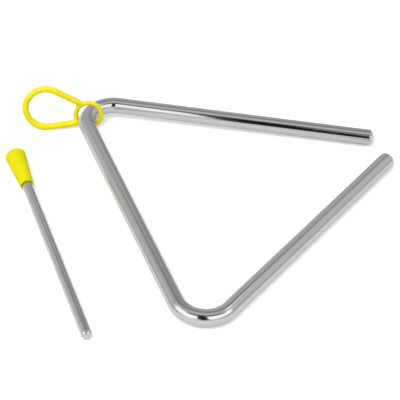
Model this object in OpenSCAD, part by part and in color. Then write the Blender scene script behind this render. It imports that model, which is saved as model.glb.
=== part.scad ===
// Hand triangle with a finger loop and a beater.
// One round bar is bent twice into an open triangle, and its two straight legs stop short of each other.
// A moulded finger loop hangs on the rear bend by its small ring.
// The beater is a second, thinner rod pushed into a tapered grip.
// Everything lies on the floor, at Z = 0. The closed side runs along Y, and the open corner points to +X.

/* [Triangle bar] */

// Length over the closed side, outside to outside
side_outer = 200; // [150:1:260]

// Diameter of the round bar
bar_d = 10; // [8:0.5:11]

// Radius of both bends at the middle of the bar
bend_r = 17; // [14:0.5:24]

// Straight length of each leg, from its bend to its free end
leg_len = 165; // [100:1:166]

// Rounding of the edge at the bar's free ends
bar_end_round = 0.6; // [0.3:0.1:1.5]

// Radius of the shallow crown on the bar's free ends
bar_end_crown = 6; // [6:0.5:30]

/* [Finger loop] */

// Inner diameter of the small ring that goes round the bar
ring_bore_d = 13; // [12.9:0.1:16]

// Thickness of the small ring
ring_tube_d = 3; // [2.4:0.1:3.4]

// Inner width of the finger opening at its round end
loop_inner_d = 21.7; // [18:0.1:26]

// Thickness of the loop round the finger
loop_tube_d = 4.2; // [3.4:0.1:4.6]

// Distance between the centres of the small ring and of the finger opening's round end
loop_reach = 27.2; // [25:0.1:34]

// Angle between the loop's straight sides and its long axis
side_angle = 18; // [14:0.5:20]

// Radius of the blends where the straight sides run into the ring
blend_r = 2; // [1.2:0.1:2.4]

// Thickness of the thin web that fills those blends
blend_t = 2; // [1.2:0.1:2.6]

/* [Finger loop on the bar] */

// How far round the rear bend the ring sits, counted from the closed side
ring_at = 40; // [36:1:46]

// How far the ring's centre stands outside the middle of the bar
ring_shift = 0.05; // [0:0.05:0.4]

// Heading of the ring's axis, seen from above
ring_heading = -106.1; // [-112:0.1:-104]

// Angle by which the ring's plane leans back from upright
ring_lean = 14; // [8:0.5:16]

// Height between the ring's lowest stretch and the bar that rides over it
ride_gap = 0.25; // [0.2:0.05:0.8]

/* [Beater rod] */

// Diameter of the beater's rod
beater_d = 6.2; // [4:0.1:6.6]

// Whole length of the beater with its grip
beater_len = 154; // [120:0.1:200]

/* [Beater grip] */

// Length of the tapered grip
grip_len = 29.5; // [24:0.5:45]

// Diameter of the grip's wide end
grip_d = 12.7; // [11:0.1:16]

// Diameter of the grip's narrow end, where the rod comes out
grip_rim_d = 8; // [7.6:0.1:9]

// Depth of the blind bore that holds the rod
grip_bore_depth = 24; // [16:0.5:28]

// Width of the bevel at the bore's mouth
grip_mouth = 0.35; // [0.1:0.05:0.45]

// Rounding of the wide end's edge
grip_round = 1.5; // [0.6:0.1:2]

// Radius of the shallow dome that closes the wide end
grip_dome_r = 13; // [9:0.5:30]

/* [Beater on the floor] */

// Distance of the beater's rod from the closed side's middle line, measured at the tip
beater_off = 52.1; // [46:0.1:90]

// Small angle between the beater and the closed side
beater_skew = 0.9; // [0:0.1:3]

// Distance of the beater's tip in front of the rear corner, along the closed side
beater_tip = 190.9; // [170:0.1:220]

/* [Origin] */

// Distance of the origin from the rear corner, towards the open corner
origin_x = 56.76; // [40:0.01:80]

// Distance of the origin from the rear corner, towards the front
origin_y = 105.39; // [80:0.01:140]

/* [Hidden] */

$fn = 48;

corner = 60;
bar_r = bar_d / 2;
side = side_outer - bar_d + 2 * bend_r * (tan(corner) - 1);
tangent = bend_r * tan(corner);
closed_len = side - 2 * tangent;
bar_flat_r = bar_r - bar_end_round;
bar_crown_h = bar_end_crown - sqrt(bar_end_crown * bar_end_crown - bar_flat_r * bar_flat_r);
bar_wall_len = leg_len - bar_crown_h - bar_end_round;

ring_tube_r = ring_tube_d / 2;
ring_r = ring_bore_d / 2 + ring_tube_r;
ring_outer_r = ring_r + ring_tube_r;
loop_tube_r = loop_tube_d / 2;
loop_r = loop_inner_d / 2 + loop_tube_r;
side_off = loop_r - loop_reach * sin(side_angle);
side_start = sqrt(ring_r * ring_r - side_off * side_off);
side_len = loop_reach * cos(side_angle) - side_start;
root_r = 0.9 * ring_tube_r;
root_len = ring_tube_d + blend_r;
web_bite = ring_tube_r / 6;

ring_angle = 180 - ring_at;
ring_x = bend_r + (bend_r + ring_shift) * cos(ring_angle);
ring_y = (bend_r + ring_shift) * sin(ring_angle) - tangent;
ring_z = ring_r * cos(ring_lean) + ring_tube_r;
ring_to_leg = (side + ring_y) * sin(corner) - ring_x * cos(corner);
bar_tilt = asin((ring_tube_d + ride_gap) / ring_to_leg);
loop_lift = asin((loop_r - ring_r + (loop_tube_r - ring_tube_r) / cos(ring_lean)) / loop_reach);

beater_r = beater_d / 2;
grip_r = grip_d / 2;
grip_rim_r = grip_rim_d / 2;
grip_flat_r = grip_r - grip_round;
grip_dome_h = grip_dome_r - sqrt(grip_dome_r * grip_dome_r - grip_flat_r * grip_flat_r);
grip_edge = grip_dome_h + grip_round;
grip_wall = grip_len - grip_bore_depth;
beater_tilt = asin((grip_r - beater_r) / (beater_len - beater_r - grip_edge));

// Half outline of a leg, up to its crowned free end with a rounded edge.
module leg_half() {
    square([bar_r, bar_wall_len]);
    square([bar_flat_r, bar_wall_len + bar_end_round]);
    translate([bar_flat_r, bar_wall_len])
        circle(r = bar_end_round);
    intersection() {
        translate([0, leg_len - bar_end_crown])
            circle(r = bar_end_crown);
        translate([0, leg_len - bar_crown_h])
            square([bar_flat_r, bar_crown_h]);
    }
}

// The half of space at +Y, out to a given reach.
module half_space(reach) {
    translate([-reach, 0, -reach])
        cube([2 * reach, reach, 2 * reach]);
}

// Turns what is drawn for one end of a bend to that end. dir is 1 for the leg's end, -1 for the other.
module bend_end(dir) {
    rotate([0, 0, dir * corner / 2])
        children();
}

// One bend with its leg and half of the closed side, centred on the middle of the bend's arc.
// The bend's outside faces +Y.
module bent_leg() {
    intersection() {
        bend_end(-1)
            rotate([0, 0, -90])
                rotate_extrude()
                    translate([bend_r, 0])
                        circle(r = bar_r);
        bend_end(1)
            half_space(bend_r + bar_d);
        bend_end(-1)
            half_space(bend_r + bar_d);
    }
    bend_end(1)
        translate([bend_r, 0, 0])
            rotate([90, 0, 0])
                rotate_extrude()
                    leg_half();
    bend_end(-1)
        translate([-bend_r, 0, 0])
            rotate([90, 0, 0])
                cylinder(r = bar_r, h = closed_len / 2 + bar_d);
}

// The bent bar in its own plane, with the middle of the rear bend's arc at the middle.
// The two halves of the closed side overlap at its middle.
module flat_bar() {
    bend_end(1)
        bent_leg();
    translate([0, -closed_len, 0])
        mirror([0, 1, 0])
            bend_end(1)
                bent_leg();
}

// Turns the bar about its front leg, which lies on the floor, so that the rear bend rides on the ring.
module bar_at_rest() {
    translate([0, -side, 0])
        rotate([0, 0, corner / 2])
            rotate([bar_tilt, 0, 0])
                rotate([0, 0, -corner / 2])
                    translate([bend_r, side - tangent, bar_r])
                        children();
}

// Small filled corner between a straight side and the ring, cut by a round of radius blend_r.
// The round bites a little into both tubes. dir is 1 inside the opening and -1 outside it.
module corner_web(dir, side_r) {
    off = side_off - dir * (side_r + blend_r - web_bite);
    far = ring_outer_r + blend_r - web_bite;
    along = sqrt(far * far - off * off);
    linear_extrude(height = blend_t, center = true)
        difference() {
            polygon([
                [along, off],
                [along, side_off],
                [side_start, side_off],
                [along * ring_r / far, off * ring_r / far],
            ]);
            translate([along, off])
                circle(r = blend_r);
        }
}

// Turns what runs along +Y, out at the round end's radius, to one side of the finger opening.
module side_frame() {
    rotate([0, 0, 90 + side_angle])
        children();
}

// One straight side of the loop, from the round end's middle to the ring.
// It thins where it meets the ring.
module loop_side() {
    side_frame()
        translate([loop_r, 0, 0])
            rotate([-90, 0, 0]) {
                cylinder(r = loop_tube_r, h = side_len - root_len);
                translate([0, 0, side_len - root_len])
                    cylinder(r1 = loop_tube_r, r2 = root_r, h = root_len);
            }
}

// The two webs in the corners between a side and the ring.
module side_webs() {
    rotate([0, 0, side_angle]) {
        corner_web(1, loop_tube_r);
        corner_web(-1, ring_tube_r);
    }
}

// The round end of the finger opening, centred on its own middle, open towards the ring.
module round_end() {
    difference() {
        rotate_extrude()
            translate([loop_r, 0])
                circle(r = loop_tube_r);
        intersection() {
            side_frame()
                half_space(loop_r + loop_tube_d);
            mirror([0, 1, 0])
                side_frame()
                    half_space(loop_r + loop_tube_d);
        }
    }
}

// The finger loop, flat, with the small ring at the middle and the finger opening towards +X.
module flat_loop() {
    rotate_extrude()
        translate([ring_r, 0])
            circle(r = ring_tube_r);
    translate([loop_reach, 0, 0]) {
        round_end();
        loop_side();
        mirror([0, 1, 0])
            loop_side();
    }
    side_webs();
    mirror([0, 1, 0])
        side_webs();
}

// Half outline of the grip, from its domed end up to its rim.
module grip_half() {
    intersection() {
        translate([0, grip_dome_r])
            circle(r = grip_dome_r);
        square([grip_flat_r, grip_dome_h]);
    }
    translate([0, grip_dome_h])
        square([grip_flat_r, grip_round]);
    translate([grip_flat_r, grip_edge])
        circle(r = grip_round);
    polygon([
        [0, grip_edge],
        [grip_r, grip_edge],
        [grip_rim_r, grip_len],
        [0, grip_len],
    ]);
}

// The blind bore, with a bevel at its mouth.
module bore_half() {
    polygon([
        [0, grip_wall],
        [beater_r, grip_wall],
        [beater_r, grip_len - grip_mouth],
        [beater_r + grip_mouth, grip_len],
        [0, grip_len],
    ]);
}

// Half outline of the beater's rod, from the bottom of the grip's bore up to its round tip.
module beater_half() {
    translate([0, grip_wall])
        square([beater_r, beater_len - beater_r - grip_wall]);
    intersection() {
        translate([0, beater_len - beater_r])
            circle(r = beater_r);
        square([beater_r, beater_len]);
    }
}

// Lays the beater on the floor: its tip and the grip's widest edge both touch.
module beater_at_rest() {
    translate([-beater_off, beater_r - beater_tip, beater_r])
        rotate([0, 0, -beater_skew])
            rotate([90 + beater_tilt, 0, 0])
                translate([0, 0, beater_r - beater_len])
                    children();
}

// Moves the origin from the rear corner to the middle of the part's footprint.
module to_origin() {
    translate([-origin_x, origin_y, 0])
        children();
}

module triangle_bar() {
    color("silver")
        to_origin()
            bar_at_rest()
                flat_bar();
}

module finger_loop() {
    color("yellow")
        to_origin()
            translate([ring_x, ring_y, ring_z])
                rotate([0, 90 - ring_lean, ring_heading])
                    rotate([0, 0, -90 - loop_lift])
                        flat_loop();
}

module beater_rod() {
    color("silver")
        to_origin()
            beater_at_rest()
                rotate_extrude()
                    beater_half();
}

module beater_grip() {
    color("gold")
        to_origin()
            beater_at_rest()
                rotate_extrude()
                    difference() {
                        grip_half();
                        bore_half();
                    }
}

triangle_bar();
finger_loop();
beater_rod();
beater_grip();
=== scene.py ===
# %% [markdown]
# # A hand triangle with its finger loop and beater
# The instrument is a single chromed bar bent into an open triangle. A yellow plastic
# loop hangs on one bend, and a thin rod with a tapered yellow grip is the beater.
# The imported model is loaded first. Every piece below is built in its frame: metres,
# the floor at Z = 0, and the closed side of the triangle along Y.

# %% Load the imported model
from math import asin, atan2, cos, pi, radians, sin, sqrt, tan

import bmesh
import bpy
from mathutils import Matrix, Vector


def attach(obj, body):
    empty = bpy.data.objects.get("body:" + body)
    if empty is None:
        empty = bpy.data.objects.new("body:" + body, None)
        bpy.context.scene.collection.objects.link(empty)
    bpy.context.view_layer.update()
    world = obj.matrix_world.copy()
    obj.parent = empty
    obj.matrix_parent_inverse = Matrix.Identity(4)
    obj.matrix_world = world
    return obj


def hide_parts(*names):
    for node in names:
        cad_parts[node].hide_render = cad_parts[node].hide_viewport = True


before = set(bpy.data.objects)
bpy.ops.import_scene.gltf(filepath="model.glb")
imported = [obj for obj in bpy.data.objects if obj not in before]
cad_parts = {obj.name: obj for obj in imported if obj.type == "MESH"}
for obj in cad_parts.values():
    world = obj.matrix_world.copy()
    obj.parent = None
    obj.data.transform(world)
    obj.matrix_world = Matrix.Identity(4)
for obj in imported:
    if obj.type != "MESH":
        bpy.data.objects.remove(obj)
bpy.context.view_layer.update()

# %% [markdown]
# ## The sizes
# Bent bars are described by a few numbers: the bar's diameter, the bend's radius and
# the straight lengths between bends. They are the same ones that the real bar is cut
# and bent to, so each is named here once and everything else is worked out from it.
# The two straight sides of a bend, made longer, meet at a corner in the air. Places
# are worked out with the rear corner at zero, and each finished piece is then moved
# to its place in the frame.

# %% Name the sizes of the bar
MM = 0.001

BAR_R = 5.0 * MM
BEND_R = 17.0 * MM
SIDE_OUTER = 200.0 * MM
LEG_LEN = 165.0 * MM
END_ROUND = 0.6 * MM
END_CROWN_R = 6.0 * MM
CORNER = radians(60)
REAR_CORNER_AT = Vector((-56.76, 105.39, 0)) * MM

SIDE = SIDE_OUTER - 2 * BAR_R + 2 * BEND_R * (tan(CORNER) - 1)
TANGENT = BEND_R * tan(CORNER)
CLOSED_LEN = SIDE - 2 * TANGENT
BEND_LEN = BEND_R * (pi - CORNER)
TO_FRAME = Matrix.Translation(REAR_CORNER_AT)
print("from corner to corner: %.1f mm" % (SIDE / MM))

# %% [markdown]
# The loop is a small ring and a large eye. The eye's straight sides spread by an angle,
# and its round end lies at a reach from the ring. The ring hangs on the rear bend, so
# its place is an angle along that bend, and a small shift off the bar's middle.

# %% Name the sizes of the finger loop
RING_HOLE_R = 6.5 * MM
RING_TUBE_R = 1.5 * MM
RING_R = RING_HOLE_R + RING_TUBE_R
LOOP_HOLE_R = 10.85 * MM
LOOP_TUBE_R = 2.1 * MM
LOOP_R = LOOP_HOLE_R + LOOP_TUBE_R
LOOP_REACH = 27.2 * MM
LOOP_ANGLE = radians(18)
RING_AT = radians(40)
RING_SHIFT = 0.05 * MM
RING_HEADING = radians(-106.1)
RING_LEAN = radians(14)
RIDE_GAP = 0.25 * MM
print("eye %.1f mm wide inside, ring %.1f mm" % (2 * LOOP_HOLE_R / MM, 2 * RING_HOLE_R / MM))

# %% [markdown]
# The beater's length is that of rod and grip together. It lies beside the closed side,
# and its place is that of its tip: how far it is off that side, and how far from the
# rear corner along it.

# %% Name the sizes of the beater
ROD_R = 3.1 * MM
BEATER_LEN = 154.0 * MM
GRIP_LEN = 29.5 * MM
GRIP_R = 6.35 * MM
GRIP_RIM_R = 4.0 * MM
GRIP_ROUND = 1.5 * MM
GRIP_DOME_R = 13.0 * MM
BORE_DEPTH = 24.0 * MM
BEATER_OFF = 52.1 * MM
BEATER_SKEW = radians(0.9)
BEATER_TIP = 190.9 * MM
print("beater %.0f mm long, its rod %.1f mm thick" % (BEATER_LEN / MM, 2 * ROD_R / MM))

# %% [markdown]
# ## Small helpers
# An operator acts on whatever is selected, and loading the model leaves its pieces
# selected. So each helper first lets go of everything, and then picks what it needs.

# %% Helpers for selecting
SAME_PLACE = 0.001 * MM


def let_go():
    """Leaves edit mode and deselects everything."""
    if bpy.context.object and bpy.context.object.mode != "OBJECT":
        bpy.ops.object.mode_set(mode="OBJECT")
    bpy.ops.object.select_all(action="DESELECT")


def take(obj):
    """Makes obj the only selected and active object."""
    let_go()
    obj.select_set(True)
    bpy.context.view_layer.objects.active = obj


def edit(obj, kind="VERT"):
    """Opens obj in edit mode, all selected. The kind says what is picked: VERT, EDGE or FACE."""
    take(obj)
    bpy.ops.object.mode_set(mode="EDIT")
    bpy.ops.mesh.select_mode(type=kind)
    bpy.ops.mesh.select_all(action="SELECT")


def pick_level(obj, z):
    """In edit mode, selects the vertices at height z."""
    bm = bmesh.from_edit_mesh(obj.data)
    for v in bm.verts:
        v.select_set(abs(v.co.z - z) < SAME_PLACE)
    bm.select_flush_mode()
    bmesh.update_edit_mesh(obj.data)


def pick_wide_faces(obj, corners):
    """In edit mode, selects the faces with more corners than given, and returns how many."""
    bm = bmesh.from_edit_mesh(obj.data)
    for f in bm.faces:
        f.select_set(len(f.verts) > corners)
    bmesh.update_edit_mesh(obj.data)
    return sum(f.select for f in bm.faces)


# %% Helpers for shaping
def settle(obj):
    """Writes the object's place, turn and scale into its mesh."""
    take(obj)
    bpy.ops.object.transform_apply(location=True, rotation=True, scale=True)


def start_piece(name):
    """Names and settles the primitive that was just added."""
    obj = bpy.context.object
    obj.name = name
    settle(obj)
    return obj


def finish_modifiers(obj):
    """Applies the object's modifiers in their order."""
    take(obj)
    for name in [m.name for m in obj.modifiers]:
        bpy.ops.object.modifier_apply(modifier=name)


def face_outwards(obj):
    """Merges doubles and turns all faces outwards."""
    edit(obj)
    bpy.ops.mesh.remove_doubles(threshold=SAME_PLACE)
    bpy.ops.mesh.normals_make_consistent(inside=False)
    bpy.ops.object.mode_set(mode="OBJECT")


def extrude_by(offset):
    """In edit mode, extrudes what is selected and moves the new part."""
    bpy.ops.mesh.extrude_region_move(TRANSFORM_OT_translate={"value": offset})


def grow(factor, center):
    """In edit mode, makes what is selected wider or narrower round a point."""
    bpy.ops.transform.resize(value=(factor,) * 3, center_override=center)


# %% Helpers for places and heights
def turn(angle, axis):
    return Matrix.Rotation(angle, 4, axis)


def shift(x, y, z):
    return Matrix.Translation((x, y, z))


def place(obj, matrix):
    """Puts a finished piece where matrix says, and writes that place into its mesh."""
    obj.matrix_world = matrix
    settle(obj)


def level_vector(direction, length):
    """A level vector of this length, with its direction measured from X."""
    return Vector((cos(direction), sin(direction), 0)) * length


def cap_height(sphere_r, rim_r):
    """How high a sphere of radius sphere_r stands above its own circle of radius rim_r."""
    return sphere_r - sqrt(sphere_r**2 - rim_r**2)


# %% [markdown]
# ## The bar
# A bent bar is the path of a circle. One circle is drawn at the rear leg's free end,
# pushed along the leg, spun round the first bend, pushed along the closed side, spun
# round the second bend and pushed along the front leg. Spin keeps the section exactly
# round, which matters here: polished metal shows every flat as a kink in its highlight.

# %% Draw the circle at the rear leg's free end
BAR_SIDES = 96
REAR_DIR = CORNER - pi / 2
FRONT_DIR = -REAR_DIR
REAR_CORNER = Vector((0, 0, 0))
FRONT_CORNER = Vector((0, -SIDE, 0))
REAR_BEND = REAR_CORNER + Vector((BEND_R, -TANGENT, 0))
FRONT_BEND = FRONT_CORNER + Vector((BEND_R, TANGENT, 0))
FLAT_R = BAR_R - END_ROUND
CROWN_H = cap_height(END_CROWN_R, FLAT_R)
WALL_LEN = LEG_LEN - CROWN_H

let_go()
bpy.ops.mesh.primitive_circle_add(
    vertices=BAR_SIDES,
    radius=BAR_R,
    fill_type="NOTHING",
    location=REAR_CORNER + level_vector(REAR_DIR, TANGENT + WALL_LEN),
    rotation=(pi / 2, 0, pi / 2 + REAR_DIR),
)
bar = start_piece("triangle_bar_polished")
middle = sum((v.co for v in bar.data.vertices), Vector()) / BAR_SIDES
print("circle at", tuple(round(v, 4) for v in middle))

# %% [markdown]
# Each push is an extrude followed by a move, in a few steps so that the long quads
# stay well shaped. Each bend is one spin of 120 degrees round the bend's own centre.
# Smooth shading blends the surface's direction over a whole face, so a short face is
# kept beside each bend and end. Without it the highlight would bow far along the bar.

# %% Push and spin the circle along the bar's path
HOLD = 1.0 * MM
BAR_STEPS = 8
BEND_STEPS = 48


def push(direction, length, steps, hold=0):
    """Extrudes and moves in even steps, between two short ones if hold is given."""
    holds = [hold] * bool(hold)
    for part in holds + [(length - 2 * hold) / steps] * steps + holds:
        extrude_by(level_vector(direction, part))


def spin_round(center, angle, steps):
    bpy.ops.mesh.spin(steps=steps, angle=angle, center=center, axis=(0, 0, 1), dupli=False)


edit(bar)
push(REAR_DIR + pi, WALL_LEN, BAR_STEPS, HOLD)
spin_round(REAR_BEND, CORNER - pi, BEND_STEPS)
push(-pi / 2, CLOSED_LEN, BAR_STEPS, HOLD)
spin_round(FRONT_BEND, CORNER - pi, BEND_STEPS)
push(FRONT_DIR, WALL_LEN, BAR_STEPS, HOLD)
bpy.ops.object.mode_set(mode="OBJECT")
print("bar before its ends:", len(bar.data.polygons), "faces")

# %% [markdown]
# The sawn ends are ground to a shallow crown with a small rounded edge, so that they
# don't scratch. The two open ends are filled, and only the edges of these two faces
# are bevelled, because a bevel by angle would also catch the bends. The crown is then
# grown from each end face by insets that follow a sphere.

# %% Close the two free ends and round their edges
EDGE_STEPS = 6
QUAD = 4

edit(bar)
bpy.ops.mesh.remove_doubles(threshold=SAME_PLACE)
bpy.ops.mesh.fill_holes(sides=0)
bpy.ops.mesh.select_all(action="DESELECT")
bpy.ops.mesh.select_mode(type="FACE")
print("end faces:", pick_wide_faces(bar, QUAD))
bpy.ops.mesh.select_mode(type="EDGE")
bpy.ops.mesh.region_to_loop()
bpy.ops.mesh.bevel(offset=END_ROUND, segments=EDGE_STEPS, affect="EDGES")
bpy.ops.object.mode_set(mode="OBJECT")
face_outwards(bar)

# %% Grow the crown on both end faces
CROWN_STEPS = 8

edit(bar, "FACE")
pick_wide_faces(bar, QUAD)
height = 0
for step in range(1, CROWN_STEPS):
    wanted = CROWN_H - cap_height(END_CROWN_R, FLAT_R * (1 - step / CROWN_STEPS))
    bpy.ops.mesh.inset(thickness=FLAT_R / CROWN_STEPS, depth=wanted - height)
    height = wanted
bpy.ops.mesh.poke(offset=CROWN_H - height)
bpy.ops.object.mode_set(mode="OBJECT")
face_outwards(bar)
print("crown %.2f mm high on each end" % (CROWN_H / MM))

# %% [markdown]
# A bent bar was drawn through a die while it was still straight, and the fine marks of
# that run along it, through the bends. So each point keeps where it was on the straight
# bar: outwards, upwards and along. The finish reads this later.


# %% Keep each point's place on the straight bar
def keep_run(obj, where):
    run = obj.data.attributes.new("run", "FLOAT_VECTOR", "POINT")
    for v, item in zip(obj.data.vertices, run.data):
        item.vector = where(v.co)


def on_straight_bar(co):
    """Outwards, upwards and along: where this point was before the bar was bent."""
    front = co.y < -SIDE / 2
    corner, direction, side = (FRONT_CORNER, FRONT_DIR, -1) if front else (REAR_CORNER, REAR_DIR, 1)
    beyond = (co - corner).dot(level_vector(direction, 1)) - TANGENT
    if beyond > 0:
        out = (co - corner).dot(level_vector(direction + side * pi / 2, 1))
        from_side = BEND_LEN + beyond
    elif abs(co.y + SIDE / 2) > CLOSED_LEN / 2:
        arm = co - (FRONT_BEND if front else REAR_BEND)
        out = arm.xy.length - BEND_R
        from_side = BEND_R * abs(atan2(side * arm.y, -arm.x))
    else:
        out, from_side = -co.x, 0
    along = CLOSED_LEN / 2 + from_side if from_side else abs(co.y + SIDE / 2)
    return (out, co.z, side * along)


keep_run(bar, on_straight_bar)
HALF_BAR = CLOSED_LEN / 2 + BEND_LEN + LEG_LEN
print("straight bar: %.0f mm long" % (2 * HALF_BAR / MM))

# %% [markdown]
# At rest the front leg lies on the floor and the rear bend rides on the loop's ring,
# so the whole bar is turned a little about its front leg. The angle follows from how
# high the ring lifts the bar, and how far the ring is from that leg.

# %% Work out the tilt and lay the bar down
RING_CENTER = Vector((
    BEND_R + (BEND_R + RING_SHIFT) * cos(pi - RING_AT),
    (BEND_R + RING_SHIFT) * sin(pi - RING_AT) - TANGENT,
    RING_R * cos(RING_LEAN) + RING_TUBE_R,
))
ring_to_leg = (SIDE + RING_CENTER.y) * sin(CORNER) - RING_CENTER.x * cos(CORNER)
bar_tilt = asin((2 * RING_TUBE_R + RIDE_GAP) / ring_to_leg)
LAY_DOWN = (
    shift(0, -SIDE, 0)
    @ turn(FRONT_DIR, "Z")
    @ turn(bar_tilt, "X")
    @ turn(-FRONT_DIR, "Z")
    @ shift(0, SIDE, BAR_R)
)
CREASE = radians(35)
place(bar, TO_FRAME @ LAY_DOWN)
bpy.ops.object.shade_smooth_by_angle(angle=CREASE)
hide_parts("triangle_bar")
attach(bar, "triangle")
print("bar tilt %.2f degrees, %d faces" % (bar_tilt * 180 / pi, len(bar.data.polygons)))

# %% [markdown]
# ## The finger loop
# The real loop is one plastic moulding: a small ring, and a large eye whose two sides
# run into it. The ring starts as a torus. The eye is drawn like the bar, with a circle
# that is pushed and spun, and its two roots are thinner, so that they end inside the
# ring's own band.

# %% Start the ring
RING_SIDES = 96
RING_TUBE_SIDES = 32

let_go()
bpy.ops.mesh.primitive_torus_add(
    major_segments=RING_SIDES,
    minor_segments=RING_TUBE_SIDES,
    major_radius=RING_R,
    minor_radius=RING_TUBE_R,
)
ring = start_piece("finger_loop_moulded")
print("ring:", len(ring.data.polygons), "faces")

# %% Draw the eye's section at one root
EYE_TUBE_SIDES = 40
ROOT_SHARE = 0.9
ROOT_R = ROOT_SHARE * RING_TUBE_R
ROOT_LEN = 3.0 * MM
side_off = LOOP_R - LOOP_REACH * sin(LOOP_ANGLE)
side_start = sqrt(RING_R**2 - side_off**2)
side_len = LOOP_REACH * cos(LOOP_ANGLE) - side_start
end_center = Vector((LOOP_REACH, 0, 0))
side_dir = level_vector(LOOP_ANGLE, 1)
root = end_center + level_vector(LOOP_ANGLE + pi / 2, LOOP_R) - side_dir * side_len

let_go()
bpy.ops.mesh.primitive_circle_add(
    vertices=EYE_TUBE_SIDES,
    radius=ROOT_R,
    fill_type="NGON",
    location=root,
    rotation=(pi / 2, 0, pi / 2 + LOOP_ANGLE),
)
eye = start_piece("eye")
print("straight sides: %.1f mm long" % (side_len / MM))

# %% Push and spin the eye round
SIDE_STEPS = 4
EYE_STEPS = 72

edit(eye, "FACE")
push(LOOP_ANGLE, ROOT_LEN, 1)
grow(LOOP_TUBE_R / ROOT_R, root + side_dir * ROOT_LEN)
push(LOOP_ANGLE, side_len - ROOT_LEN, SIDE_STEPS)
spin_round(end_center, pi + 2 * LOOP_ANGLE, EYE_STEPS)
push(pi - LOOP_ANGLE, side_len - ROOT_LEN, SIDE_STEPS)
push(pi - LOOP_ANGLE, ROOT_LEN, 1)
grow(ROOT_R / LOOP_TUBE_R, Vector((root.x, -root.y, 0)))
bpy.ops.object.mode_set(mode="OBJECT")
face_outwards(eye)
print("eye:", len(eye.data.polygons), "faces")

# %% [markdown]
# A mould has no sharp inner corners. To get the same soft corners where the eye runs
# into the ring, the welded shape is made one even skin, swollen, made even again, and
# shrunk back by the same amount. Outer forms come back as they were, and inner
# corners stay filled.

# %% Make ring and eye one skin
FILLET = 1.1 * MM
SKIN_GRAIN = 0.22 * MM
LAST_GRAIN = 0.20 * MM


def even_skin(obj, size):
    skin = obj.modifiers.new("even_skin", "REMESH")
    skin.mode = "VOXEL"
    skin.voxel_size = size


def swell(obj, amount):
    offset = obj.modifiers.new("swell", "DISPLACE")
    offset.mid_level = 0
    offset.strength = amount


weld = ring.modifiers.new("one_skin", "BOOLEAN")
weld.operation = "UNION"
weld.object = eye
even_skin(ring, SKIN_GRAIN)
swell(ring, FILLET)
even_skin(ring, SKIN_GRAIN)
swell(ring, -FILLET)
even_skin(ring, LAST_GRAIN)
finish_modifiers(ring)
take(eye)
bpy.ops.object.delete()
print("one skin:", len(ring.data.polygons), "faces")

# %% Smooth the skin and measure it
SMOOTH_SHARE = 0.5
SMOOTH_TIMES = 10
NEAR_MIDDLE = 0.5 * MM

edit(ring)
bpy.ops.mesh.vertices_smooth(factor=SMOOTH_SHARE, repeat=SMOOTH_TIMES)
bpy.ops.object.mode_set(mode="OBJECT")
keep_run(ring, lambda co: (co.x, co.y, co.z))

bore = min(v.co.xy.length for v in ring.data.vertices)
round_end = [v.co for v in ring.data.vertices if v.co.x > LOOP_REACH]
thick = max(co.z for co in round_end) - min(co.z for co in round_end)
wide = max(co.x for co in round_end) - min(co.x for co in round_end if abs(co.y) < NEAR_MIDDLE)
print("bore %.2f mm, round end %.2f x %.2f mm" % (2 * bore / MM, thick / MM, wide / MM))

# %% [markdown]
# The loop stands on its edge: the ring and the round end both touch the floor, and
# the whole loop leans back a little. Its long axis rises because the round end is
# the larger of the two.

# %% Stand the loop on its edge
loop_lift = asin((LOOP_R - RING_R + (LOOP_TUBE_R - RING_TUBE_R) / cos(RING_LEAN)) / LOOP_REACH)
STAND = (
    Matrix.Translation(RING_CENTER)
    @ turn(RING_HEADING, "Z")
    @ turn(pi / 2 - RING_LEAN, "Y")
    @ turn(-pi / 2 - loop_lift, "Z")
)
place(ring, TO_FRAME @ STAND)
bpy.ops.object.shade_smooth()
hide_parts("finger_loop")
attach(ring, "loop")
print("loop lift %.2f degrees" % (loop_lift * 180 / pi))

# %% [markdown]
# ## The beater
# The rod is a plain cylinder with a round tip. The tip is grown in rings that follow
# a half sphere, so that its highlight stays a clean dot. It is drawn standing, with
# the grip's wide end at Z = 0.


# %% Helpers for growing rings
def grow_rings(radius, height, rings):
    """Extrudes the selected ring, of this radius and height, on through more of them."""
    for next_radius, next_height in rings:
        extrude_by((0, 0, next_height - height))
        grow(next_radius / radius, (0, 0, next_height))
        radius, height = next_radius, next_height


def close_ring(rise):
    """Draws the selected ring together into one point, higher by rise."""
    extrude_by((0, 0, rise))
    bpy.ops.mesh.merge(type="CENTER")


def quarter_angles(steps):
    return [step * pi / 2 / steps for step in range(1, steps + 1)]


# %% Start the rod as a cylinder
ROD_SIDES = 72
GRIP_WALL = GRIP_LEN - BORE_DEPTH
tip_z = BEATER_LEN - ROD_R
rod_wall = tip_z - HOLD - GRIP_WALL

let_go()
bpy.ops.mesh.primitive_cylinder_add(
    vertices=ROD_SIDES, radius=ROD_R, depth=rod_wall, location=(0, 0, GRIP_WALL + rod_wall / 2)
)
rod = start_piece("beater_rod_polished")
print("rod starts %.1f mm above the grip's wide end" % (GRIP_WALL / MM))

# %% Grow its round tip
TIP_STEPS = 16
tip_rings = [(ROD_R * cos(a), tip_z + ROD_R * sin(a)) for a in quarter_angles(TIP_STEPS)[:-1]]

edit(rod)
pick_level(rod, tip_z - HOLD)
grow_rings(ROD_R, tip_z - HOLD, [(ROD_R, tip_z)] + tip_rings)
close_ring(BEATER_LEN - tip_rings[-1][1])
bpy.ops.object.mode_set(mode="OBJECT")
face_outwards(rod)
keep_run(rod, lambda co: (co.x, co.y, co.z - BEATER_LEN / 2))
rod_top = max(v.co.z for v in rod.data.vertices)
print("rod:", len(rod.data.polygons), "faces, top at %.2f mm" % (rod_top / MM))

# %% [markdown]
# The grip is a cone that is turned into a cap: its wide end gets a rounded edge and a
# shallow dome, and its narrow end is inset and sunk to make the bore for the rod.
# The mould's cap leaves a fine seam round the wide end, which shows in the light as a
# thin line just before the rounding. It is drawn as a shallow groove.

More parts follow.
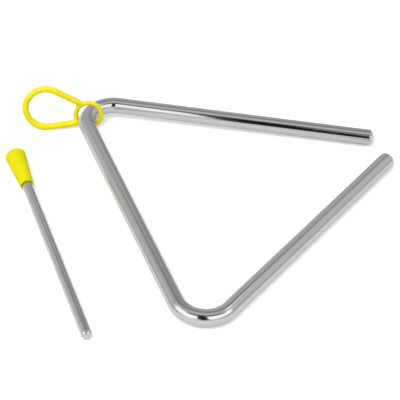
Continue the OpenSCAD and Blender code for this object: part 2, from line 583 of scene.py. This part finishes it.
# %% Start the grip as a cone
GRIP_SIDES = 96
SEAM = 0.6 * MM
SEAM_DEPTH = 0.16 * MM
flat_r = GRIP_R - GRIP_ROUND
grip_edge = cap_height(GRIP_DOME_R, flat_r) + GRIP_ROUND
cone_foot = grip_edge + SEAM + HOLD


def side_r(z):
    """Radius of the grip's tapered side at height z."""
    return GRIP_R - (z - grip_edge) * (GRIP_R - GRIP_RIM_R) / (GRIP_LEN - grip_edge)


let_go()
bpy.ops.mesh.primitive_cone_add(
    vertices=GRIP_SIDES,
    radius1=side_r(cone_foot),
    radius2=GRIP_RIM_R,
    depth=GRIP_LEN - cone_foot,
    location=(0, 0, (GRIP_LEN + cone_foot) / 2),
)
grip = start_piece("beater_grip_moulded")
print("cone from %.1f to %.1f mm" % (2 * side_r(cone_foot) / MM, 2 * GRIP_RIM_R / MM))

# %% Draw the seam, then round and dome the wide end
ROUND_STEPS = 10
DOME_STEPS = 8
seam_rings = [
    (side_r(grip_edge + SEAM), grip_edge + SEAM),
    (GRIP_R - SEAM_DEPTH, grip_edge + SEAM / 2),
    (GRIP_R, grip_edge),
]
round_rings = [
    (flat_r + GRIP_ROUND * cos(a), grip_edge - GRIP_ROUND * sin(a)) for a in quarter_angles(ROUND_STEPS)
]
dome_radii = [flat_r * (1 - step / DOME_STEPS) for step in range(1, DOME_STEPS)]
dome_rings = [(radius, cap_height(GRIP_DOME_R, radius)) for radius in dome_radii]

edit(grip)
pick_level(grip, cone_foot)
grow_rings(side_r(cone_foot), cone_foot, seam_rings + round_rings + dome_rings)
close_ring(0)
bpy.ops.object.mode_set(mode="OBJECT")
print("rings below the cone:", len(seam_rings + round_rings + dome_rings))

# %% Sink the bore into the narrow end
MOUTH = 0.35 * MM
BORE_R = ROD_R + 0.01 * MM

edit(grip)
pick_level(grip, GRIP_LEN)
bore_rings = [(ROD_R + MOUTH, GRIP_LEN), (BORE_R, GRIP_LEN - MOUTH), (BORE_R, GRIP_LEN - BORE_DEPTH)]
grow_rings(GRIP_RIM_R, GRIP_LEN, bore_rings)
bpy.ops.object.mode_set(mode="OBJECT")
face_outwards(grip)
keep_run(grip, lambda co: (co.y, co.z, co.x))
print("grip:", len(grip.data.polygons), "faces, bore %.2f mm wide" % (2 * BORE_R / MM))

# %% [markdown]
# The beater lies on two points, its round tip and the grip's widest edge, so its axis
# dips towards the tip.

# %% Lay the beater on the floor
beater_tilt = asin((GRIP_R - ROD_R) / (tip_z - grip_edge))
LIE = (
    shift(-BEATER_OFF, ROD_R - BEATER_TIP, ROD_R)
    @ turn(-BEATER_SKEW, "Z")
    @ turn(pi / 2 + beater_tilt, "X")
    @ shift(0, 0, -tip_z)
)
for piece, node, slot in ((rod, "beater_rod", "rod"), (grip, "beater_grip", "grip")):
    place(piece, TO_FRAME @ LIE)
    bpy.ops.object.shade_smooth_by_angle(angle=CREASE)
    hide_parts(node)
    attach(piece, "beater")
print("beater tilt %.2f degrees" % (beater_tilt * 180 / pi))

# %% [markdown]
# ## The finishes
# Two shared effects are built once as node groups: the fine drawing marks and smudges
# of the plated bars, and the skin and parting line that a mould leaves on plastic.
# Both read the place that each point had before its piece was bent or laid down.


# %% Helpers for building node groups
def new_group(name, inputs, outputs):
    group = bpy.data.node_groups.new(name, "ShaderNodeTree")
    for title, kind, value in inputs:
        group.interface.new_socket(name=title, in_out="INPUT", socket_type=kind).default_value = value
    for title, kind in outputs:
        group.interface.new_socket(name=title, in_out="OUTPUT", socket_type=kind)
    return group, group.nodes.new("NodeGroupInput"), group.nodes.new("NodeGroupOutput")


def feed(tree, socket, value):
    """Links value to the socket if it is a socket itself, and sets it there if it is a number."""
    if hasattr(value, "links"):
        tree.links.new(value, socket)
    else:
        socket.default_value = value


def math_node(tree, operation, a, b):
    n = tree.nodes.new("ShaderNodeMath")
    n.operation = operation
    feed(tree, n.inputs[0], a)
    feed(tree, n.inputs[1], b)
    return n.outputs[0]


def ramp_up(tree, value, low, high):
    """Rises softly from 0, where value is low, to 1, where it is high."""
    ramp = tree.nodes.new("ShaderNodeMapRange")
    ramp.interpolation_type = "SMOOTHSTEP"
    for title, v in (("Value", value), ("From Min", low), ("From Max", high)):
        feed(tree, ramp.inputs[title], v)
    return ramp.outputs["Result"]


# %% Helpers for reading a point's place
def noise_on(tree, vector, per_metre, detail=2.0):
    """Noise with this many grains to the metre in each direction of the vector."""
    stretch = tree.nodes.new("ShaderNodeMapping")
    stretch.inputs["Scale"].default_value = per_metre
    tree.links.new(vector, stretch.inputs["Vector"])
    noise = tree.nodes.new("ShaderNodeTexNoise")
    noise.inputs["Scale"].default_value = 1.0
    noise.inputs["Detail"].default_value = detail
    tree.links.new(stretch.outputs["Vector"], noise.inputs["Vector"])
    return noise.outputs["Fac"]


def run_of(tree):
    """The kept place, and how far its third number is from zero."""
    kept = tree.nodes.new("ShaderNodeAttribute")
    kept.attribute_name = "run"
    split = tree.nodes.new("ShaderNodeSeparateXYZ")
    tree.links.new(kept.outputs["Vector"], split.inputs["Vector"])
    return kept.outputs["Vector"], math_node(tree, "ABSOLUTE", split.outputs["Z"], 0)


# %% [markdown]
# The drawing marks are noise that is 150 times as long as wide, along the bar. Smudges
# from handling make the polish slightly uneven. At the ground ends the plating lies on
# a coarser surface, so the last two millimetres or so are duller.

# %% Build the group for plated bars
LINES_PER_METRE = (1500, 1500, 10)
SMUDGES_PER_METRE = (90, 90, 45)
SMUDGE_DETAIL = 3.0
SMUDGE_LOW, SMUDGE_HIGH = 0.45, 0.75
DULL_UP_TO, BRIGHT_FROM = 1.0 * MM, 2.2 * MM
LINE_ROUGH, SMUDGE_ROUGH, END_ROUGH = 0.05, 0.06, 0.10

marks, m_in, m_out = new_group(
    "drawing_marks",
    [("Polish", "NodeSocketFloat", 0.1), ("Half Length", "NodeSocketFloat", 0.1)],
    [("Roughness", "NodeSocketFloat"), ("Height", "NodeSocketFloat")],
)
m_run, from_middle = run_of(marks)
lines = noise_on(marks, m_run, LINES_PER_METRE)
smudges = noise_on(marks, m_run, SMUDGES_PER_METRE, SMUDGE_DETAIL)
from_end = math_node(marks, "SUBTRACT", m_in.outputs["Half Length"], from_middle)
dull_end = math_node(marks, "SUBTRACT", 1.0, ramp_up(marks, from_end, DULL_UP_TO, BRIGHT_FROM))
rough = m_in.outputs["Polish"]
for effect, amount in (
    (lines, LINE_ROUGH),
    (ramp_up(marks, smudges, SMUDGE_LOW, SMUDGE_HIGH), SMUDGE_ROUGH),
    (dull_end, END_ROUGH),
):
    rough = math_node(marks, "ADD", rough, math_node(marks, "MULTIPLY", effect, amount))
marks.links.new(rough, m_out.inputs["Roughness"])
marks.links.new(lines, m_out.inputs["Height"])
print("group", marks.name)

# %% [markdown]
# Both plastic pieces come out of a mould with two halves. Where the halves met, a thin
# raised line is left: round the edge of the flat loop, and lengthwise along the grip.
# In both, it is where the third number of the kept place is zero.

# %% Build the group for moulded plastic
GRAINS_PER_METRE = (1600, 1600, 1600)
CLOUDS_PER_METRE = (160, 160, 160)
GRAIN_SHARE = 0.35
CLOUD_ROUGH = 0.10
CLOUD_LOW, CLOUD_HIGH = 0.3, 0.7

skin, s_in, s_out = new_group(
    "mould_skin",
    [("Gloss", "NodeSocketFloat", 0.35), ("Line Width", "NodeSocketFloat", 0.2 * MM)],
    [("Roughness", "NodeSocketFloat"), ("Height", "NodeSocketFloat"), ("Cloud", "NodeSocketFloat")],
)
s_run, off_line = run_of(skin)
ridge = math_node(skin, "SUBTRACT", 1.0, ramp_up(skin, off_line, 0.0, s_in.outputs["Line Width"]))
grain = math_node(skin, "MULTIPLY", noise_on(skin, s_run, GRAINS_PER_METRE), GRAIN_SHARE)
clouds = noise_on(skin, s_run, CLOUDS_PER_METRE)
uneven = math_node(skin, "MULTIPLY", clouds, CLOUD_ROUGH)
skin.links.new(math_node(skin, "ADD", grain, ridge), s_out.inputs["Height"])
skin.links.new(math_node(skin, "ADD", s_in.outputs["Gloss"], uneven), s_out.inputs["Roughness"])
skin.links.new(ramp_up(skin, clouds, CLOUD_LOW, CLOUD_HIGH), s_out.inputs["Cloud"])
print("group", skin.name)

# %% [markdown]
# The bar and the rod share one bright plating: fully metallic and slightly grey. The
# loop and the grip are both a saturated yellow, but the grip is deeper and duller.
# Thick plastic of this kind is also a little deeper in some places than in others.


# %% Helpers for the materials
def finish_with(name, group, settings):
    """A material whose roughness comes from a group, with the group's own values set."""
    mat = bpy.data.materials.new(name)
    mat.use_nodes = True
    tree = mat.node_tree
    shader = tree.nodes["Principled BSDF"]
    effect = tree.nodes.new("ShaderNodeGroup")
    effect.node_tree = group
    for title, value in settings.items():
        effect.inputs[title].default_value = value
    tree.links.new(effect.outputs["Roughness"], shader.inputs["Roughness"])
    return mat, shader, effect


def bump_from(tree, height, depth, strength):
    bump = tree.nodes.new("ShaderNodeBump")
    bump.inputs["Strength"].default_value = strength
    bump.inputs["Distance"].default_value = depth
    tree.links.new(height, bump.inputs["Height"])
    tree.links.new(bump.outputs["Normal"], tree.nodes["Principled BSDF"].inputs["Normal"])


# %% Make the plated materials
PLATING_GREY = (0.62, 0.62, 0.625, 1)
POLISH = 0.055
LINE_DEPTH = 0.012 * MM
LINE_STRENGTH = 0.6


def plated_steel(name, half_length):
    mat, shader, effect = finish_with(name, marks, {"Polish": POLISH, "Half Length": half_length})
    shader.inputs["Base Color"].default_value = PLATING_GREY
    shader.inputs["Metallic"].default_value = 1.0
    bump_from(mat.node_tree, effect.outputs["Height"], LINE_DEPTH, LINE_STRENGTH)
    return mat


bar_finish = plated_steel("plated_bar", HALF_BAR)
rod_finish = plated_steel("plated_rod", BEATER_LEN / 2)
print("materials:", bar_finish.name, rod_finish.name)

# %% Make the yellow materials
LOOP_LIGHT, LOOP_DEEP = (0.90, 0.80, 0.002, 1), (0.84, 0.73, 0.001, 1)
GRIP_LIGHT, GRIP_DEEP = (0.77, 0.71, 0.0005, 1), (0.71, 0.65, 0.0005, 1)
SKIN_DEPTH = 0.03 * MM
SKIN_STRENGTH = 0.5
# A Mix node has a pair of inputs for each kind of value, and these are the places for colours.
MIX_FACTOR, MIX_FIRST, MIX_SECOND, MIX_RESULT = 0, 6, 7, 2


def yellow_plastic(name, light, deep, gloss, shine):
    mat, shader, effect = finish_with(name, skin, {"Gloss": gloss})
    tree = mat.node_tree
    shader.inputs["Specular IOR Level"].default_value = shine
    mix = tree.nodes.new("ShaderNodeMix")
    mix.data_type = "RGBA"
    mix.inputs[MIX_FIRST].default_value = light
    mix.inputs[MIX_SECOND].default_value = deep
    tree.links.new(effect.outputs["Cloud"], mix.inputs[MIX_FACTOR])
    tree.links.new(mix.outputs[MIX_RESULT], shader.inputs["Base Color"])
    bump_from(tree, effect.outputs["Height"], SKIN_DEPTH, SKIN_STRENGTH)
    return mat


loop_finish = yellow_plastic("yellow_loop", LOOP_LIGHT, LOOP_DEEP, gloss=0.32, shine=0.22)
grip_finish = yellow_plastic("yellow_grip", GRIP_LIGHT, GRIP_DEEP, gloss=0.40, shine=0.06)
print("materials:", loop_finish.name, grip_finish.name)

# %% Put the materials on
for piece, mat in ((bar, bar_finish), (rod, rod_finish), (ring, loop_finish), (grip, grip_finish)):
    piece.data.materials.clear()
    piece.data.materials.append(mat)
    print(piece.name, "is", mat.name)

# %% [markdown]
# ## The studio
# A pale floor, a soft light overhead and a plain pale surround. The floor is lifted to
# white for the camera, and a little in reflections. In reflections, ambient occlusion
# fades that lift in the narrow nook where the metal touches the floor, which paints a
# dark contact shade there. It still takes the instrument's soft shadow.

# %% Lay the floor
FLOOR_WIDTH = 6.0
FLOOR_DROP = 0.1 * MM
FLOOR_GREY = (0.70, 0.70, 0.70, 1)
FLOOR_ROUGH = 0.9
WHITE = (1, 1, 1, 1)
LIFT_SEEN = 0.42
LIFT_MIRRORED = 0.18
# How far from the metal the painted contact shade in the floor's reflected lift reaches.
PAINTED_SHADE_REACH = 20 * MM


def mirrored_ray(tree, path):
    """1 for a ray that a mirror or a clear body has sent on, and 0 for others."""
    return math_node(tree, "MAXIMUM", path.outputs["Is Glossy Ray"], path.outputs["Is Transmission Ray"])


let_go()
bpy.ops.mesh.primitive_plane_add(size=FLOOR_WIDTH, location=(0, 0, -FLOOR_DROP))
floor = bpy.context.object
floor.name = "studio_floor"
floor_mat = bpy.data.materials.new("pale_floor")
floor_mat.use_nodes = True
tree = floor_mat.node_tree
base = tree.nodes["Principled BSDF"]
base.inputs["Base Color"].default_value = FLOOR_GREY
base.inputs["Roughness"].default_value = FLOOR_ROUGH
base.inputs["Specular IOR Level"].default_value = 0.0
base.inputs["Emission Color"].default_value = WHITE
path = tree.nodes.new("ShaderNodeLightPath")
painted_contact_shade = tree.nodes.new("ShaderNodeAmbientOcclusion")
painted_contact_shade.inputs["Distance"].default_value = PAINTED_SHADE_REACH
to_camera = math_node(tree, "MULTIPLY", path.outputs["Is Camera Ray"], LIFT_SEEN)
to_metal = math_node(tree, "MULTIPLY", mirrored_ray(tree, path), LIFT_MIRRORED)
# Painted contact shade: ambient occlusion dims the lift that reflections see near the metal, so the bar
# mirrors a dark line where it meets the floor.
to_metal = math_node(tree, "MULTIPLY", to_metal, painted_contact_shade.outputs["AO"])
tree.links.new(math_node(tree, "ADD", to_camera, to_metal), base.inputs["Emission Strength"])
floor.data.materials.append(floor_mat)
print("floor %.0f m wide" % FLOOR_WIDTH)

# %% [markdown]
# The surround is white where it is seen, and lights the instrument with only about
# half of that. The lamp isn't seen in the metal, because the dome and the cards
# below draw what the metal shows.

# %% Light it softly
SURROUND_LIGHT = 0.55
SURROUND_SEEN_MORE = 0.45
KEY_AT = Vector((-0.5, -0.3, 1.2))
KEY_WIDTH = 0.8
KEY_WATTS = 12

world = bpy.data.worlds.new("studio_surround")
bpy.context.scene.world = world
world.use_nodes = True
tree = world.node_tree
back = tree.nodes["Background"]
back.inputs["Color"].default_value = WHITE
path = tree.nodes.new("ShaderNodeLightPath")
seen = math_node(tree, "MAXIMUM", path.outputs["Is Camera Ray"], mirrored_ray(tree, path))
seen_more = math_node(tree, "MULTIPLY", seen, SURROUND_SEEN_MORE)
tree.links.new(math_node(tree, "ADD", seen_more, SURROUND_LIGHT), back.inputs["Strength"])

bpy.ops.object.light_add(type="AREA", location=KEY_AT)
key = bpy.context.object
key.name = "soft_key"
key.data.shape = "DISK"
key.data.size = KEY_WIDTH
key.data.energy = KEY_WATTS
key.visible_glossy = False
key.rotation_euler = (-KEY_AT).to_track_quat("-Z", "Y").to_euler()

# %% [markdown]
# Polished metal is a mirror, so its bands are drawn by what stands round it. A grey
# dome stands for the room. Two soft boxes flank the camera and make the highlights on
# the bends, and a black card between them stands where a camera would. A bright door
# lights the rear leg next to its bend, and a black door, farther off than the black
# card, carries the leg's dark streak on to its end. Paler and darker cards give the
# bar its quiet grey bands. The cards have feathered edges. Only reflections see them
# and the dome.


# %% Build the group for feathered edges
MIDDLE = 0.5

feather, f_in, f_out = new_group(
    "feathered_edge",
    [("Width", "NodeSocketFloat", 0.3)],
    [("Mask", "NodeSocketFloat")],
)
f_co = feather.nodes.new("ShaderNodeTexCoord")
f_split = feather.nodes.new("ShaderNodeSeparateXYZ")
feather.links.new(f_co.outputs["UV"], f_split.inputs["Vector"])


def edge_ramp(side):
    """Rises from 0 at the card's two opposite edges to 1 at Width inside them."""
    off_middle = math_node(feather, "ABSOLUTE", math_node(feather, "SUBTRACT", side, MIDDLE), 0.0)
    from_edge = math_node(feather, "SUBTRACT", MIDDLE, off_middle)
    return ramp_up(feather, from_edge, 0.0, f_in.outputs["Width"])


feather.links.new(
    math_node(feather, "MULTIPLY", edge_ramp(f_split.outputs["X"]), edge_ramp(f_split.outputs["Y"])),
    f_out.inputs["Mask"],
)
print("group", feather.name)


# %% Helpers for things that only reflections see
def card_material(name, strength, soft):
    """A plain glow, with a feathered edge if soft isn't zero."""
    mat = bpy.data.materials.new(name)
    mat.use_nodes = True
    nodes, links = mat.node_tree.nodes, mat.node_tree.links
    nodes.clear()
    glow = nodes.new("ShaderNodeEmission")
    glow.inputs["Strength"].default_value = strength
    out = nodes.new("ShaderNodeOutputMaterial")
    if not soft:
        links.new(glow.outputs["Emission"], out.inputs["Surface"])
        return mat
    edge = nodes.new("ShaderNodeGroup")
    edge.node_tree = feather
    edge.inputs["Width"].default_value = soft
    mix = nodes.new("ShaderNodeMixShader")
    links.new(edge.outputs["Mask"], mix.inputs[0])
    links.new(nodes.new("ShaderNodeBsdfTransparent").outputs["BSDF"], mix.inputs[1])
    links.new(glow.outputs["Emission"], mix.inputs[2])
    links.new(mix.outputs["Shader"], out.inputs["Surface"])
    return mat


def only_in_reflections(name, strength, soft):
    """Names the primitive that was just added, makes it glow and hides it from all but mirrors."""
    obj = bpy.context.object
    obj.name = name
    obj.data.materials.append(card_material(name, strength, soft))
    obj.visible_camera = False
    obj.visible_diffuse = False
    obj.visible_transmission = False
    obj.visible_shadow = False
    return obj


# %% Put up the dome
DOME_R = 2.5
DOME_GREY = 0.54
DOME_SIDES, DOME_RINGS = 32, 16

let_go()
bpy.ops.mesh.primitive_uv_sphere_add(segments=DOME_SIDES, ring_count=DOME_RINGS, radius=DOME_R)
dome = only_in_reflections("room_dome", DOME_GREY, 0)
print(dome.name, "%.1f m wide" % (2 * DOME_R))

# %% Put up the cards
# name, azimuth, elevation, half width and half height in degrees, strength, edge, metres away
CARDS = (
    ("ceiling_card", 0, 89, 22, 22, 0.62, 0.3, 1.8),
    ("pale_wall_back", 140, 18, 34, 32, 0.65, 0.3, 2.0),
    ("pale_wall_right", 0, 34, 34, 28, 0.68, 0.3, 2.0),
    ("grey_wall_behind", 42, 22, 17, 32, 0.38, 0.3, 1.9),
    ("grey_shelf", 72, 60, 30, 16, 0.30, 0.35, 1.6),
    ("small_window", 12, 61, 16, 8, 1.15, 0.4, 1.7),
    ("front_sweep", -112, 3, 60, 11, 1.0, 0.3, 1.6),
    ("bright_door", -130, 38, 10, 24, 1.35, 0.25, 1.45),
    ("black_door", -113, 38, 7, 21, 0.01, 0.12, 0.95),
    ("soft_box_left", -165, 34, 34, 29, 1.45, 0.25, 1.5),
    ("soft_box_right", -67, 40, 36, 25, 1.45, 0.25, 1.5),
    ("dark_gap", -105, 68, 50, 10, 0.12, 0.4, 1.3),
)

# Drawn this wide, a card has its half width and half height as its scale.
CARD_WIDTH = 2


def card(name, azimuth, elevation, half_width, half_height, strength, edge, distance):
    """A flat card that stands at these angles, as seen from the instrument, and faces it."""
    az, el = radians(azimuth), radians(elevation)
    spot = Vector((cos(az) * cos(el), sin(az) * cos(el), sin(el))) * distance
    let_go()
    bpy.ops.mesh.primitive_plane_add(size=CARD_WIDTH, location=spot)
    plane = only_in_reflections(name, strength, edge)
    plane.rotation_euler = spot.to_track_quat("Z", "Y").to_euler()
    plane.scale = (distance * tan(radians(half_width)), distance * tan(radians(half_height)), 1)


for row in CARDS:
    card(*row)
print("cards:", len(CARDS))

# %% [markdown]
# The black card is much nearer than the others, as a camera is, so each part of the
# bar sees it in another direction. That is why the rear leg carries a long black streak
# and each bend only a small black spot.

# %% Put up the black card
BLACK_CARD_AT = Vector((-0.185, -0.338, 0.48))
BLACK_CARD_TURN = (pi / 2, radians(-5), radians(-30.3))
BLACK_CARD_HALF_WIDTH, BLACK_CARD_HALF_HEIGHT = 0.088, 0.40
BLACK_CARD_GLOW, BLACK_CARD_EDGE = 0.01, 0.14

let_go()
bpy.ops.mesh.primitive_plane_add(size=CARD_WIDTH, location=BLACK_CARD_AT)
black_card = only_in_reflections("black_card", BLACK_CARD_GLOW, BLACK_CARD_EDGE)
black_card.rotation_euler = BLACK_CARD_TURN
black_card.scale = (BLACK_CARD_HALF_WIDTH, BLACK_CARD_HALF_HEIGHT, 1)
print("black card %.2f m from the instrument" % BLACK_CARD_AT.length)

# %% [markdown]
# Where the loop hangs round the bend, a perfect mirror fills its hole with yellow. The
# photo shows grey metal there, so the loop is kept out of reflections. This is a choice
# for the picture: set the value to True to see the mirror's own answer.

# %% Keep the loop out of the bar's reflections
ring.visible_glossy = False
print("loop seen in reflections:", ring.visible_glossy)

# %% [markdown]
# ## The camera
# The camera stands before the front corner, some 70 cm away, and looks down on the
# instrument at about 43 degrees. It is rolled a little, as a hand-held view is. Its
# turns are made in the order of a tripod: the head is rolled, tilted up from looking
# straight down, and swung round. Sensor and lens are in millimetres, as on a camera.

# %% Place the camera
CAMERA_AT = Vector((-221.7, -490.4, 491.62)) * MM
CAMERA_SWING = radians(-23.3135)
CAMERA_TILT = radians(47.1949)
CAMERA_ROLL = radians(2.2958)
SENSOR_WIDTH = 36
LENS = 107.85

let_go()
bpy.ops.object.camera_add()
camera = bpy.context.object
swung = turn(CAMERA_SWING, "Z") @ turn(CAMERA_TILT, "X") @ turn(CAMERA_ROLL, "Z")
camera.matrix_world = Matrix.Translation(CAMERA_AT) @ swung
camera.data.sensor_width = SENSOR_WIDTH
camera.data.lens = LENS
bpy.context.scene.camera = camera
bpy.context.scene.view_settings.view_transform = "Standard"
print("camera %.2f m from the instrument" % CAMERA_AT.length)
